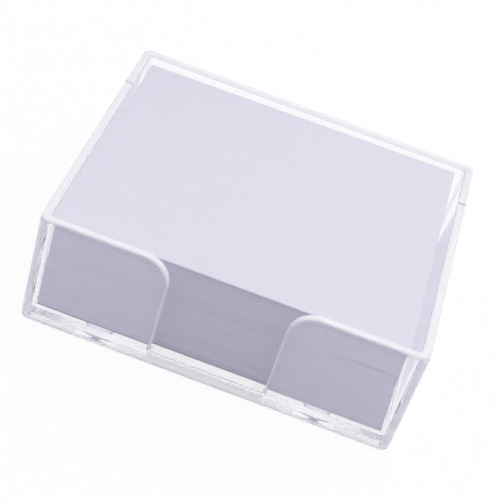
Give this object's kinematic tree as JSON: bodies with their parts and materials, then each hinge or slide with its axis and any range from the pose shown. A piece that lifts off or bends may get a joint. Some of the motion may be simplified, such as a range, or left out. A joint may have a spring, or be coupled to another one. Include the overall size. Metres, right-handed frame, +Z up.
{
  "type": "memo pad holder",
  "caption": "Clear open-topped desk tray with rounded corners, a skirted base and a finger cut-out in the front wall, holding a stack of loose memo sheets that lift out.",
  "frame": {"origin": "point of the table top under the middle of the tray, level with the treads of the feet", "axes": "+Z up, +X to the right as seen from the front, the front wall with its cut-out faces -Y"},
  "size_m": [0.1178, 0.101, 0.0402],
  "materials": {
    "clear_plastic": "clear, polished, colourless with a faint cool cast",
    "soft_foot": "clear soft bumper, satin",
    "memo_paper": "plain uncoated white paper"
  },
  "bodies": {
    "holder": {"holder_shell": "clear_plastic", "foot_front_left": "soft_foot", "foot_front_right": "soft_foot", "foot_rear_left": "soft_foot", "foot_rear_right": "soft_foot"},
    "memo_block": {"memo_bundle_01": "memo_paper", "memo_bundle_02": "memo_paper", "memo_bundle_03": "memo_paper", "memo_bundle_04": "memo_paper", "memo_bundle_05": "memo_paper", "memo_bundle_06": "memo_paper", "memo_bundle_07": "memo_paper", "memo_bundle_08": "memo_paper", "memo_bundle_09": "memo_paper", "memo_bundle_10": "memo_paper", "memo_bundle_11": "memo_paper", "memo_bundle_12": "memo_paper"},
    "third_sheet": {"memo_sheet_third": "memo_paper"},
    "second_sheet": {"memo_sheet_second": "memo_paper"},
    "top_sheet": {"memo_sheet_top": "memo_paper"}
  },
  "joints": [
    {"name": "block_lift", "type": "slide", "parent": "holder", "child": "memo_block", "axis": [0, 0, 1], "range_m": [0, 0.045]},
    {"name": "third_sheet_lift", "type": "slide", "parent": "memo_block", "child": "third_sheet", "axis": [0, 0, 1], "range_m": [0, 0.02]},
    {"name": "second_sheet_lift", "type": "slide", "parent": "third_sheet", "child": "second_sheet", "axis": [0, 0, 1], "range_m": [0, 0.02]},
    {"name": "top_sheet_lift", "type": "slide", "parent": "second_sheet", "child": "top_sheet", "axis": [0, 0, 1], "range_m": [0, 0.02]}
  ]
}
